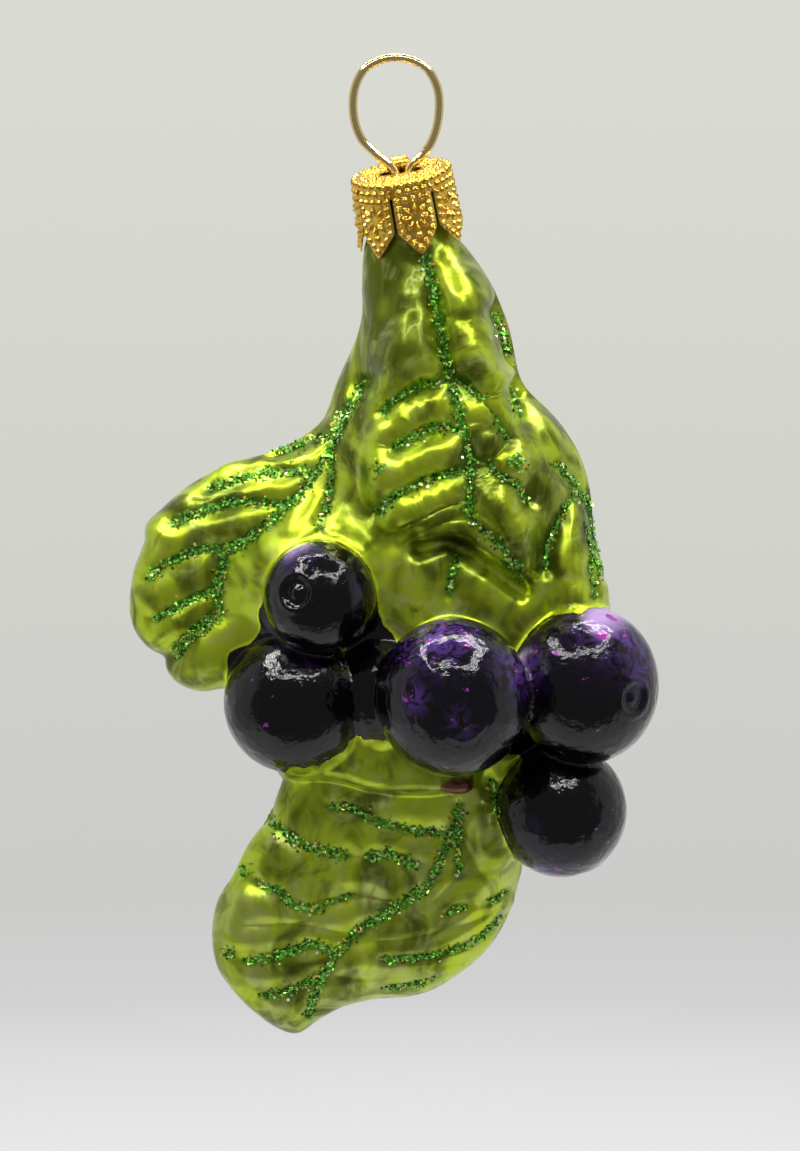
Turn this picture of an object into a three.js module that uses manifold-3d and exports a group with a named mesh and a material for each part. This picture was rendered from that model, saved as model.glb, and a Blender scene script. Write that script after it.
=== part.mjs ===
// A blown-glass hanging ornament in the shape of a blueberry sprig.
//
// Three pieces make it up:
//   glass_sprig  one hollow blown-glass shell: a neck, leaves, a cluster of berries and a hanging leaf
//   gold_cap     a stamped metal cap with seven pointed petals, pushed over the neck
//   hanger_wire  one piece of wire: a loop above the cap and two legs that spring apart inside the neck
//
// Millimetres, +Z up. The origin is the inside top of the wire loop, where a hook bears.
// The front of the ornament faces -Y, and it is drawn as it hangs, leaning a little on its loop.

import * as THREE from "three";
import { mergeVertices } from "three/addons/utils/BufferGeometryUtils.js";
import Module from "manifold-3d";

// ---- Driving dimensions ----

const GLASS_WALL = 0.8;

const WIRE_RADIUS = 0.5;
const LOOP_HALF_WIDTH = 4.65; // to the middle of the wire

const CAP_TOP = new THREE.Vector3(0.5, 0, -11.9);
const NECK_DIRECTION = new THREE.Vector3(1.3, 1.3, -7.5).normalize(); // down the neck
const CAP_SHEET = 0.3;
const CAP_TOP_RADIUS = 5.3;
const CAP_TIP_RADIUS = 5.85;
const CAP_LENGTH = 8.5;
const PETALS = 7;
const PETAL_SLIT_TOP = 1.9; // how far down the cap each slit starts
const PETAL_SHOULDER = 5.9; // how far down a petal starts to narrow to its tip
const SLIT_WIDTH = 0.4;

// Berries: centre, radii along X, Y and Z, and the way that the crown dimple faces.
const BERRIES = [
  { at: [-8.3, -7.6, -57.8], radii: [6.1, 6.1, 6.2], crown: [-0.43, -0.88, 0.2] },
  { at: [-11.0, -4.2, -69.9], radii: [7.9, 7.6, 7.8], crown: [0.1, -0.42, -0.9] },
  { at: [-1.0, -3.0, -68.8], radii: [6.6, 6.6, 6.8], crown: [-0.1, -0.6, -0.8] },
  { at: [6.2, -10.6, -68.4], radii: [8.4, 8.4, 8.7], crown: [0.14, -0.97, -0.2] },
  { at: [20.6, -5.0, -67.8], radii: [8.2, 8.2, 8.7], crown: [0.66, -0.74, -0.08] },
  { at: [18.2, -3.0, -82.0], radii: [7.2, 7.2, 7.4], crown: [0.5, 0.2, -0.84] },
  { at: [-7.2, 9.4, -66.0], radii: [7.4, 7.2, 7.6], crown: [-0.3, 0.93, -0.1] },
  { at: [8.2, 10.6, -72.0], radii: [8.0, 7.8, 8.0], crown: [0.1, 0.92, -0.36] },
  { at: [16.6, 7.2, -66.0], radii: [6.6, 6.6, 6.8], crown: [0.72, 0.66, 0.1] },
];
const CROWN_RADIUS = 1.9;
const CROWN_DEPTH = 0.45;

// Puffed leaves: middle, half thickness, and the outline across X and Z from the middle.
const LEFT_LEAF = {
  at: [-15.0, 1.2, -55.0],
  halfThickness: 5.6,
  outline: [
    [8.6, 16.4], [4.3, 13.3], [-4.1, 10.6], [-10.3, 5.8], [-12.5, 1.6], [-13.9, -3.4], [-13.7, -7.4], [-10.5, -10.4],
    [-8.2, -13.4], [-4.4, -14.0], [3.0, -13.0], [9.0, -6.0], [12.6, 4.0], [13.0, 12.0],
  ],
};
const HANGING_LEAF = {
  at: [-2.6, 1.5, -92.5],
  halfThickness: 5.6,
  outline: [
    [-9.5, 13.3], [-11.2, 9.7], [-15.4, 2.3], [-17.6, -3.7], [-16.1, -9.5], [-13.7, -12.3], [-10.8, -14.5],
    [-8.6, -15.3], [-6.8, -14.5], [-3.6, -12.3], [0.3, -11.4], [4.1, -11.1], [7.5, -9.9], [12.0, -6.5],
    [14.8, -2.5], [16.2, 3.0], [13.6, 9.5], [6.0, 14.0], [-3.0, 15.9],
  ],
};
const LEAVES = [LEFT_LEAF, HANGING_LEAF];

// Swollen parts of the shell: middle, radii, and the lean about Y in degrees.
const SWELLINGS = [
  { at: [5.6, -2.4, -43.5], radii: [9.6, 7.0, 15.5], lean: -9 }, // the leaf folded over the front
  { at: [15.0, 2.5, -53.0], radii: [7.4, 8.5, 12.6], lean: -14 }, // the leaf on the right
  { at: [2.0, 6.8, -47.0], radii: [8.5, 5.4, 14.0], lean: 6 }, // the leaf on the back
  { at: [-8.6, -0.6, -57.0], radii: [9.2, 6.8, 9.6], lean: 0 }, // behind the highest berry
  { at: [4.5, 2.0, -70.5], radii: [18.5, 9.5, 11.5], lean: 0 }, // the middle of the berry cluster
  { at: [3.5, 1.5, -83.0], radii: [9.0, 5.4, 9.0], lean: 0 }, // the root of the hanging leaf
];

// Tapering hollow branches: points down the middle, each with its half width and half depth.
const NECK_AND_STEM = [
  { at: [0.62, 0.12, -12.6], half: [4.1, 4.1] },
  { at: [1.45, 0.95, -17.4], half: [4.5, 4.5] },
  { at: [2.3, 1.6, -22.0], half: [5.5, 5.3] },
  { at: [3.7, 2.0, -27.0], half: [6.4, 6.0] },
  { at: [4.3, 2.3, -32.0], half: [7.4, 6.6] },
  { at: [5.0, 2.5, -38.0], half: [8.6, 7.4] },
  { at: [6.5, 2.6, -46.0], half: [10.6, 8.6] },
  { at: [6.6, 2.6, -56.0], half: [13.0, 9.6] },
  { at: [5.5, 2.6, -66.0], half: [13.5, 9.6] },
];
const LEFT_BRANCH = [
  { at: [3.0, 2.0, -32.0], half: [3.4, 3.4] },
  { at: [-2.2, 2.0, -39.8], half: [4.8, 4.6] },
  { at: [-8.5, 1.6, -47.5], half: [5.6, 5.4] },
  { at: [-16.0, 1.2, -54.5], half: [6.0, 4.4] },
];
const BRANCHES = [NECK_AND_STEM, LEFT_BRANCH];

// ---- Solids: a closed three.js geometry becomes a manifold-3d solid, and back ----

const wasm = await Module();
wasm.setup();

function solid(geometry) {
  const bare = geometry.index ? geometry.toNonIndexed() : geometry.clone();
  bare.deleteAttribute("normal");
  bare.deleteAttribute("uv");
  const merged = mergeVertices(bare, 1e-4);
  return new wasm.Manifold(
    new wasm.Mesh({
      numProp: 3,
      vertProperties: merged.attributes.position.array,
      triVerts: new Uint32Array(merged.index.array),
    }),
  );
}

function geometryOf(made) {
  const mesh = made.getMesh();
  const geometry = new THREE.BufferGeometry();
  geometry.setAttribute("position", new THREE.BufferAttribute(mesh.vertProperties, 3));
  geometry.setIndex(new THREE.BufferAttribute(mesh.triVerts, 1));
  return geometry.toNonIndexed();
}

function joined(solids) {
  return solids.reduce((all, next) => all.add(next));
}

// Moves every vertex of a geometry by a function of its place.
function reshape(geometry, place) {
  const position = geometry.getAttribute("position");
  const vertex = new THREE.Vector3();
  for (let i = 0; i < position.count; i++) {
    vertex.fromBufferAttribute(position, i);
    place(vertex);
    position.setXYZ(i, vertex.x, vertex.y, vertex.z);
  }
  return geometry;
}

// ---- The glass shell ----
// Each part is made twice, once for the outside and once taken in by the wall for the hollow.

// A berry is a lathed ball with a shallow ring pressed into the end that its crown dimple faces.
function berry({ at, radii, crown }, takenIn, around, along) {
  const profile = [];
  for (let i = 0; i <= along; i++) {
    const angle = (i / along) * Math.PI; // 0 at the pole opposite the crown
    const across = Math.sin(angle);
    const mean = radii[0] - takenIn;
    const dent = CROWN_DEPTH * Math.exp(-((across * mean / CROWN_RADIUS) ** 2) * 2) * (angle > Math.PI / 2 ? 1 : 0);
    const onAxis = i === 0 || i === along;
    profile.push(new THREE.Vector2(onAxis ? 0 : across, -Math.cos(angle) * (1 - dent / mean)));
  }
  const facing = new THREE.Quaternion().setFromUnitVectors(
    new THREE.Vector3(0, 1, 0),
    new THREE.Vector3(...crown).normalize(),
  );
  return new THREE.LatheGeometry(profile, around)
    .applyQuaternion(facing)
    .scale(radii[0] - takenIn, radii[1] - takenIn, radii[2] - takenIn)
    .translate(...at);
}

// How far a closed outline reaches from its middle, in any direction.
function outlineReach(outline) {
  const curve = new THREE.CatmullRomCurve3(
    outline.map(([x, z]) => new THREE.Vector3(x, 0, z)),
    true,
  );
  const spots = curve.getPoints(outline.length * 10).map((p) => ({
    angle: Math.atan2(p.z, p.x),
    reach: Math.hypot(p.x, p.z),
  }));
  spots.sort((a, b) => a.angle - b.angle);
  return (angle) => {
    const next = spots.findIndex((s) => s.angle >= angle);
    const b = spots[next < 0 ? 0 : next];
    const a = spots[next <= 0 ? spots.length - 1 : next - 1];
    const turn = 2 * Math.PI;
    const span = (b.angle - a.angle + turn) % turn || turn;
    const share = ((angle - a.angle + turn) % turn) / span;
    return a.reach + (b.reach - a.reach) * share;
  };
}

// A leaf is a ball pressed flat, with its rim drawn out to the outline.
function puffedLeaf({ at, halfThickness, outline }, takenIn, around, along) {
  const reach = outlineReach(outline);
  const fullness = 2 / 2.5; // fuller than an ellipse in section
  const shape = reshape(new THREE.SphereGeometry(1, around, along), (v) => {
    const flat = Math.min(1, Math.hypot(v.x, v.z));
    const angle = Math.atan2(v.z, v.x);
    const out = flat < 1e-6 ? 0 : flat ** fullness * (reach(angle) - takenIn);
    const up = Math.sign(v.y) * Math.abs(v.y) ** fullness * (halfThickness - takenIn);
    v.set(Math.cos(angle) * out, Math.abs(v.y) < 1e-6 ? 0 : up, Math.sin(angle) * out);
  });
  return shape.translate(...at);
}

function swelling({ at, radii, lean }, takenIn, around, along) {
  return new THREE.SphereGeometry(1, around, along)
    .scale(radii[0] - takenIn, radii[1] - takenIn, radii[2] - takenIn)
    .rotateY(THREE.MathUtils.degToRad(lean))
    .translate(...at);
}

// A branch is a cylinder bent along its middle line. The hollow of the neck runs on past its top, so that it is open.
function branch(stations, takenIn, around, steps, openAbove) {
  const line = new THREE.CatmullRomCurve3(stations.map((s) => new THREE.Vector3(...s.at)));
  const girth = new THREE.CatmullRomCurve3(stations.map((s) => new THREE.Vector3(...s.half, 0)));
  const height = 1;
  return reshape(new THREE.CylinderGeometry(1, 1, height, around, steps), (v) => {
    const along = Math.min(1, Math.max(0, height / 2 - v.y));
    const middle = line.getPoint(along);
    const ahead = line.getTangent(along);
    const half = girth.getPoint(along);
    const side = new THREE.Vector3(1, 0, 0).addScaledVector(ahead, -ahead.x).normalize();
    const depth = new THREE.Vector3().crossVectors(ahead, side).normalize();
    if (takenIn && along === 0) middle.addScaledVector(ahead, -openAbove);
    v.copy(middle.addScaledVector(side, v.x * (half.x - takenIn)).addScaledVector(depth, v.z * (half.y - takenIn)));
  });
}

function shellSide(takenIn, fineness) {
  const around = Math.round(20 * fineness);
  const along = Math.round(12 * fineness);
  return joined([
    ...BERRIES.map((b) => solid(berry(b, takenIn, around, along))),
    ...LEAVES.map((l) => solid(puffedLeaf(l, takenIn, Math.round(36 * fineness), along))),
    ...SWELLINGS.map((s) => solid(swelling(s, takenIn, around, along))),
    ...BRANCHES.map((b, i) => solid(branch(b, takenIn, around, 12, i === 0 ? 4 : 0))),
  ]);
}

const glassSprig = shellSide(0, 0.85).subtract(shellSide(GLASS_WALL, 0.55));

// ---- The cap ----
// It is made about its own axis, top at 0 and petals hanging down -Y, then turned to lie along the neck.

function capBlank() {
  const rim = 0.45; // radius of the rolled edge
  const outside = [
    [0, 0],
    [CAP_TOP_RADIUS - rim, 0],
    [CAP_TOP_RADIUS - rim * 0.3, -rim * 0.3],
    [CAP_TOP_RADIUS, -rim],
    [CAP_TIP_RADIUS, -CAP_LENGTH],
  ];
  const inside = [
    [CAP_TIP_RADIUS - CAP_SHEET, -CAP_LENGTH],
    [CAP_TOP_RADIUS - CAP_SHEET, -rim - CAP_SHEET],
    [CAP_TOP_RADIUS - rim, -CAP_SHEET],
    [0, -CAP_SHEET],
  ];
  const profile = [...outside, ...inside].reverse().map(([r, y]) => new THREE.Vector2(r, y));
  return solid(new THREE.LatheGeometry(profile, 8 * PETALS));
}

// What is cut away between two petals: a slit that opens out below the shoulders.
function petalGap() {
  const halfPetal = (Math.PI * CAP_TIP_RADIUS) / PETALS;
  const below = -CAP_LENGTH - 1;
  const outline = new THREE.Shape([
    new THREE.Vector2(-SLIT_WIDTH / 2, -PETAL_SLIT_TOP),
    new THREE.Vector2(-SLIT_WIDTH / 2, -PETAL_SHOULDER),
    new THREE.Vector2(-halfPetal, -CAP_LENGTH),
    new THREE.Vector2(-halfPetal, below),
    new THREE.Vector2(halfPetal, below),
    new THREE.Vector2(halfPetal, -CAP_LENGTH),
    new THREE.Vector2(SLIT_WIDTH / 2, -PETAL_SHOULDER),
    new THREE.Vector2(SLIT_WIDTH / 2, -PETAL_SLIT_TOP),
  ]);
  return new THREE.ExtrudeGeometry(outline, { depth: CAP_TIP_RADIUS, bevelEnabled: false }).translate(0, 0, 2);
}

// The hole in the top, long enough for both legs of the wire.
function wireSlot() {
  const halfLength = 1.5;
  const halfWidth = 1.0;
  const outline = new THREE.Shape()
    .absarc(halfLength, 0, halfWidth, -Math.PI / 2, Math.PI / 2)
    .absarc(-halfLength, 0, halfWidth, Math.PI / 2, (3 * Math.PI) / 2);
  return solid(
    new THREE.ExtrudeGeometry(outline, { depth: 2, bevelEnabled: false, curveSegments: 8 })
      .translate(0, 0, -1)
      .rotateX(Math.PI / 2),
  );
}

function cap() {
  const firstSlit = THREE.MathUtils.degToRad(-15); // from the front, towards the left
  let made = capBlank().subtract(wireSlot());
  for (let i = 0; i < PETALS; i++) {
    const turn = Math.PI + firstSlit + (i * 2 * Math.PI) / PETALS;
    made = made.subtract(solid(petalGap().rotateY(turn)));
  }
  return made;
}

// The cap's own -Y lies down the neck, and its front stays to the front.
function capPlace() {
  const up = NECK_DIRECTION.clone().negate();
  const right = new THREE.Vector3(1, 0, 0).addScaledVector(up, -up.x).normalize();
  const front = new THREE.Vector3().crossVectors(right, up);
  return new THREE.Matrix4().makeBasis(right, up, front).setPosition(CAP_TOP);
}

// ---- The wire ----
// One run of wire: up the left leg, round the loop and down the right leg.

function hangerWire() {
  const leftLeg = [[-1.1, 1.7, -22.6], [-0.5, 1.0, -17.5], [0, 0.2, -13.0]];
  const loop = [
    [-0.6, -11.4], [-2.2, -10.0], [-3.8, -8.3], [-4.6, -5.9], [-4.55, -3.2], [-3.6, -1.0], [-1.9, 0.15],
    [0.0, 0.5], [1.9, 0.15], [3.6, -1.0], [4.6, -3.2], [LOOP_HALF_WIDTH, -5.9], [4.05, -8.3], [3.0, -10.0],
    [1.7, -11.3],
  ].map(([x, z]) => [x, 0, z]);
  const rightLeg = [[1.5, 0.2, -13.0], [2.9, 1.0, -17.5], [5.4, 1.7, -22.6]];
  const run = new THREE.CatmullRomCurve3([...leftLeg, ...loop, ...rightLeg].map((p) => new THREE.Vector3(...p)));
  const section = new THREE.Shape().absarc(0, 0, WIRE_RADIUS, 0, 2 * Math.PI);
  return new THREE.ExtrudeGeometry(section, { steps: 90, extrudePath: run, curveSegments: 5 });
}

// ---- The ornament ----

const paintedGlass = new THREE.MeshStandardMaterial({ color: 0x7f9a1e, roughness: 0.25, metalness: 0.8 });
const gold = new THREE.MeshStandardMaterial({ color: 0xd79a2b, roughness: 0.3, metalness: 1 });
const paleGold = new THREE.MeshStandardMaterial({ color: 0xcdb163, roughness: 0.15, metalness: 1 });

const ornament = new THREE.Group();

const sprigMesh = new THREE.Mesh(geometryOf(glassSprig), paintedGlass);
sprigMesh.name = "glass_sprig";
ornament.add(sprigMesh);

const capMesh = new THREE.Mesh(geometryOf(cap()), gold);
capMesh.name = "gold_cap";
capMesh.applyMatrix4(capPlace());
ornament.add(capMesh);

const wireMesh = new THREE.Mesh(hangerWire(), paleGold);
wireMesh.name = "hanger_wire";
ornament.add(wireMesh);

export default ornament;
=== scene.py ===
# %% [markdown]
# # A blown-glass blueberry sprig ornament
# The ornament is one hollow shell of silvered glass, painted with green and purple lacquer, with lines of
# glitter along the leaf veins. A stamped gold cap closes its neck, and a loop of wire hangs from the cap.
# The shell is built as a smooth skin over simple swollen shapes. Everything is in the part's own frame:
# metres, +Z up, the origin at the inside top of the wire loop, and the front facing -Y.

import math

import bmesh
import bpy
import numpy as np
from mathutils import Matrix, Vector
from mathutils.bvhtree import BVHTree


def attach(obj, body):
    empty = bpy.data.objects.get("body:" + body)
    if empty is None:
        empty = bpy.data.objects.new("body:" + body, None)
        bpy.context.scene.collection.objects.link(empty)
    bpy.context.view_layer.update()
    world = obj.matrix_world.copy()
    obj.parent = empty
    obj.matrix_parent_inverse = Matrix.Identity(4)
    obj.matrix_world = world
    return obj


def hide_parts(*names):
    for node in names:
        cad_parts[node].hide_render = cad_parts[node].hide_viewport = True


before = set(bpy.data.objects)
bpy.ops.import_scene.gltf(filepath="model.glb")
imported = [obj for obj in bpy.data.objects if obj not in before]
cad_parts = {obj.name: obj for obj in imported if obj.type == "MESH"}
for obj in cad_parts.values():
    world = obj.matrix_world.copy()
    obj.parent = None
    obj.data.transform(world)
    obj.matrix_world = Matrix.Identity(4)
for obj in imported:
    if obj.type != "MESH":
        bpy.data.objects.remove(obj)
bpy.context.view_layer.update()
MM = 0.001

# %% [markdown]
# ## The camera
# A long lens, a little above the middle of the ornament and looking slightly down at it.

# %% Camera
ELEVATION = math.radians(7)
DISTANCE = 0.7
FRAME_HEIGHT = 0.1266
aim = Vector((0.44 * MM, 0, -55.94 * MM / math.cos(ELEVATION)))

camera_data = bpy.data.cameras.new("camera")
camera_data.sensor_width = 36
camera_data.lens = 36 * DISTANCE / FRAME_HEIGHT
camera_data.clip_start = 0.01
camera_data.clip_end = 20
camera_data.dof.use_dof = False
camera = bpy.data.objects.new("camera", camera_data)
bpy.context.collection.objects.link(camera)
camera.location = aim + Vector((0, -math.cos(ELEVATION), math.sin(ELEVATION))) * DISTANCE
camera.rotation_euler = (math.pi / 2 - ELEVATION, 0, 0)
bpy.context.scene.camera = camera
bpy.context.scene.view_settings.view_transform = "Standard"
print("lens:", round(camera_data.lens, 1), "mm")


# %% [markdown]
# ## Small helpers
# Polylines are rounded with a Catmull-Rom curve. Distances to them are worked out once on a grid in the
# X-Z plane and then read off by interpolation.

# %% Helpers
def rounded(points, closed=False, steps=6):
    """The points of a smooth curve through the given points."""
    p = np.array(points, float)
    count = len(p)
    if closed:
        p = np.vstack([p[-1], p, p[0], p[1]])
        spans = count
    else:
        p = np.vstack([2 * p[0] - p[1], p, 2 * p[-1] - p[-2]])
        spans = count - 1
    t = np.linspace(0, 1, steps, endpoint=False)[:, None]
    run = []
    for i in range(spans):
        a, b, c, d = p[i : i + 4]
        squared = (2 * a - 5 * b + 4 * c - d) * t**2
        cubed = (3 * b - a - 3 * c + d) * t**3
        run.append(0.5 * (2 * b + (c - a) * t + squared + cubed))
    if not closed:
        run.append(p[-2][None])
    return np.vstack(run)


GRID_STEP = 0.25
GRID_X = np.arange(-34, 34.01, GRID_STEP)
GRID_Z = np.arange(-112, -8, GRID_STEP)
SPOTS = np.stack(np.meshgrid(GRID_X, GRID_Z, indexing="ij"), -1)


def line_distance(curve):
    """Distance of every grid spot from an open curve."""
    best = np.full(SPOTS.shape[:2], 1e3)
    for a, b in zip(curve[:-1], curve[1:]):
        ab = b - a
        t = np.clip(((SPOTS - a) @ ab) / max(ab @ ab, 1e-12), 0, 1)
        best = np.minimum(best, np.linalg.norm(SPOTS - a - t[..., None] * ab, axis=-1))
    return best


def depth_inside(outline):
    """How far inside a closed outline every grid spot is, negative outside."""
    curve = rounded(outline, closed=True, steps=4)
    loop = np.vstack([curve, curve[:1]])
    inside = np.zeros(SPOTS.shape[:2], bool)
    x, z = SPOTS[..., 0], SPOTS[..., 1]
    for (ax, az), (bx, bz) in zip(loop[:-1], loop[1:]):
        crosses = (az > z) != (bz > z)
        inside ^= crosses & (x < (bx - ax) * (z - az) / ((bz - az) or 1e-12) + ax)
    return np.where(inside, 1, -1) * line_distance(loop)


def read(grid, x, z):
    """Reads a grid at any places, by straight interpolation."""
    i = np.clip((x - GRID_X[0]) / GRID_STEP, 0, len(GRID_X) - 1.001)
    j = np.clip((z - GRID_Z[0]) / GRID_STEP, 0, len(GRID_Z) - 1.001)
    i0, j0 = i.astype(int), j.astype(int)
    u, v = i - i0, j - j0
    low = grid[i0, j0] * (1 - u) + grid[i0 + 1, j0] * u
    high = grid[i0, j0 + 1] * (1 - u) + grid[i0 + 1, j0 + 1] * u
    return low * (1 - v) + high * v


def smooth_table(rows):
    """Rounds a table of sizes down the ornament, so that reading it between rows leaves no kinks."""
    return rounded(sorted(rows), steps=10)


def blend_min(a, b, k):
    """The lesser of two fields, rounded where they meet."""
    h = np.clip(0.5 + 0.5 * (b - a) / k, 0, 1)
    return b + (a - b) * h - k * h * (1 - h)


# %% [markdown]
# ## The shapes of the shell
# Millimetres. The sprig has nine berries, a neck that widens into the leaves, a leaf folded over the front,
# one at each side, one on the back and one that hangs below the fruit.

# %% Berries
# Middle, radii, way that the crown dimple faces, and depth of the dimple.
BERRIES = [
    ((-8.3, -7.6, -57.8), (6.1, 6.1, 6.2), (-0.43, -0.88, 0.2), 0.5),
    ((-11.0, -4.2, -69.9), (7.9, 7.6, 7.8), (0.1, -0.42, -0.9), 0.3),
    ((-1.0, -3.0, -68.8), (6.6, 6.6, 6.8), (-0.1, -0.6, -0.8), 0.2),
    ((6.2, -10.6, -68.4), (8.4, 8.4, 8.7), (0.14, -0.97, -0.2), 0.22),
    ((20.6, -5.0, -67.8), (8.2, 8.2, 8.7), (0.66, -0.74, -0.08), 0.4),
    ((18.2, -3.0, -82.0), (7.2, 7.2, 7.4), (0.5, 0.2, -0.84), 0.4),
    ((-7.2, 9.4, -66.0), (7.4, 7.2, 7.6), (-0.3, 0.93, -0.1), 0.45),
    ((8.2, 10.6, -72.0), (8.0, 7.8, 8.0), (0.1, 0.92, -0.36), 0.45),
    ((16.6, 7.2, -66.0), (6.6, 6.6, 6.8), (0.72, 0.66, 0.1), 0.45),
]
FRUIT_CORE = ((4.5, 2.0, -70.0), (17.0, 8.6, 9.5))
STEM_END = ((6.8, -5.6, -78.9), (1.7, 1.5, 0.9))

# %% Cap place
# The middle of the cap's top, and the way its axis points as the ornament leans on its loop.
CAP_TOP = np.array((0.5, 0.0, -11.9))
UP = np.array((-1.3, -1.3, 7.5)) / np.linalg.norm((1.3, 1.3, 7.5))
RIGHT = np.array((1.0, 0, 0)) - UP[0] * UP
RIGHT /= np.linalg.norm(RIGHT)
FRONT = np.cross(RIGHT, UP)

# %% Neck and leaves
# The neck: height, middle across, half width, middle in depth, half depth.
NECK = [
    (-11.6, 0.62, 4.1, 0.1, 4.1),
    (-15.0, 1.1, 4.2, 0.6, 4.2),
    (-18.5, 1.6, 4.7, 1.1, 4.6),
    (-21.2, 2.2, 5.5, 1.5, 5.1),
    (-26.2, 3.6, 6.4, 1.9, 5.7),
    (-29.5, 4.1, 7.2, 2.1, 6.2),
    (-34.4, 4.1, 8.3, 2.3, 6.9),
    (-39.4, 4.2, 9.9, 2.5, 7.6),
    (-46.0, 5.4, 11.4, 2.6, 8.4),
    (-52.0, 6.2, 13.0, 2.6, 9.2),
    (-58.0, 6.4, 14.0, 2.6, 9.6),
    (-66.0, 6.0, 14.0, 2.6, 9.0),
]
# Each leaf: its outline in X and Z, how far in its edge stays rounded, its half thickness, and its middle in
# depth at two heights.
LEFT_LEAF = {
    "outline": [
        (-4.6, -36.5), (-6.2, -38.8), (-10.5, -41.9), (-15.0, -43.6), (-19.1, -44.7), (-23.4, -47.6),
        (-25.4, -49.3), (-27.1, -51.0), (-27.2, -52.6), (-27.8, -54.2), (-28.7, -56.2), (-28.9, -59.1),
        (-28.9, -60.8), (-28.4, -62.5), (-27.1, -64.1), (-25.5, -65.3), (-25.0, -66.8), (-23.8, -68.1),
        (-21.6, -68.9), (-19.2, -68.6), (-14.0, -68.0), (-6.0, -60.0), (0.0, -50.0), (2.0, -38.0),
    ],
    "roll": 5.0, "half": 4.9, "depth": [(-68, 1.4), (-38, 1.8)],
}
RIGHT_LEAF = {
    "outline": [
        (11.0, -35.0), (14.2, -39.4), (16.7, -42.7), (19.5, -46.0), (21.3, -50.9), (22.4, -54.2), (23.2, -58.6),
        (22.5, -62.5), (18.0, -62.5), (15.6, -57.0), (15.6, -52.0), (14.4, -47.0), (12.0, -41.0),
    ],
    "roll": 3.6, "half": 6.6, "depth": [(-60, 0.4), (-40, 2.2)],
}
FRONT_LEAF = {
    "outline": [
        (5.6, -20.0), (2.2, -22.0), (-0.6, -27.0), (-2.2, -33.0), (-3.0, -40.0), (-3.2, -46.5), (-1.4, -50.6),
        (2.8, -52.0), (6.8, -51.6), (9.8, -53.4), (12.6, -56.6), (14.6, -56.4), (15.3, -52.0), (14.7, -45.0),
        (13.4, -39.5), (12.2, -34.0), (10.6, -28.0), (8.0, -22.0),
    ],
    "roll": 3.4, "half": 5.0, "depth": [(-56, -4.6), (-50, -4.2), (-40, -2.4), (-30, -0.6), (-20, 1.4)],
}
BACK_LEAF = {
    "outline": [
        (2.0, -24.0), (-3.0, -30.0), (-7.0, -38.0), (-9.0, -46.0), (-8.0, -53.0), (-4.0, -57.0), (1.0, -60.0),
        (7.0, -57.0), (11.0, -51.0), (12.0, -43.0), (10.0, -34.0), (7.0, -27.0),
    ],
    "roll": 3.6, "half": 5.0, "depth": [(-58, 8.4), (-50, 7.6), (-38, 5.6), (-26, 3.2)],
}
HANGING_LEAF = {
    "outline": [
        (-12.2, -77.4), (-12.1, -79.2), (-13.8, -82.8), (-16.3, -86.8), (-18.0, -90.2), (-19.6, -93.0),
        (-20.2, -96.2), (-19.9, -99.6), (-18.7, -102.0), (-16.3, -104.8), (-13.4, -107.0), (-11.2, -107.8),
        (-9.4, -107.0), (-6.2, -104.8), (-2.3, -103.9), (1.5, -103.6), (4.9, -102.4), (9.4, -99.0), (12.2, -95.0),
        (13.4, -91.6), (13.8, -87.5), (13.0, -82.0), (8.0, -76.0), (-4.0, -74.0),
    ],
    "roll": 5.6, "half": 4.7, "depth": [(-108, 2.6), (-92, 1.4), (-78, 0.6)],
}
UPPER_FOLD = {
    "outline": [
        (-12.2, -75.6), (-12.0, -78.0), (-7.0, -78.6), (-2.0, -79.8), (4.0, -80.1), (8.4, -79.2), (9.0, -76.0),
        (2.0, -73.0), (-8.0, -73.0),
    ],
    "roll": 1.6, "half": 4.3, "depth": [(-80, -1.2), (-74, -1.0)],
}
LEAVES = [LEFT_LEAF, RIGHT_LEAF, FRONT_LEAF, BACK_LEAF, HANGING_LEAF, UPPER_FOLD]
for leaf in LEAVES:
    leaf["inside"] = depth_inside(leaf["outline"])
BERRY_SOCKET = ((-8.6, -0.6, -57.0), (9.2, 6.8, 9.6))
SHOULDER = ((13.4, 2.4, -52.0), (8.2, 8.4, 13.6))
LEAF_KNOB = ((10.6, -1.6, -84.8), (3.0, 3.6, 4.4))
LEAF_ROOT = ((11.2, 0.4, -78.0), (3.4, 3.8, 4.0))
print(len(LEAVES), "leaf shapes on a grid of", GRID_X.size, "by", GRID_Z.size)

# %% [markdown]
# ## The veins
# Each vein is pressed into the mould as a groove, with the leaf swelling between them. Most carry glitter.
# The width of a trail of glitter follows its points.

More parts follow.
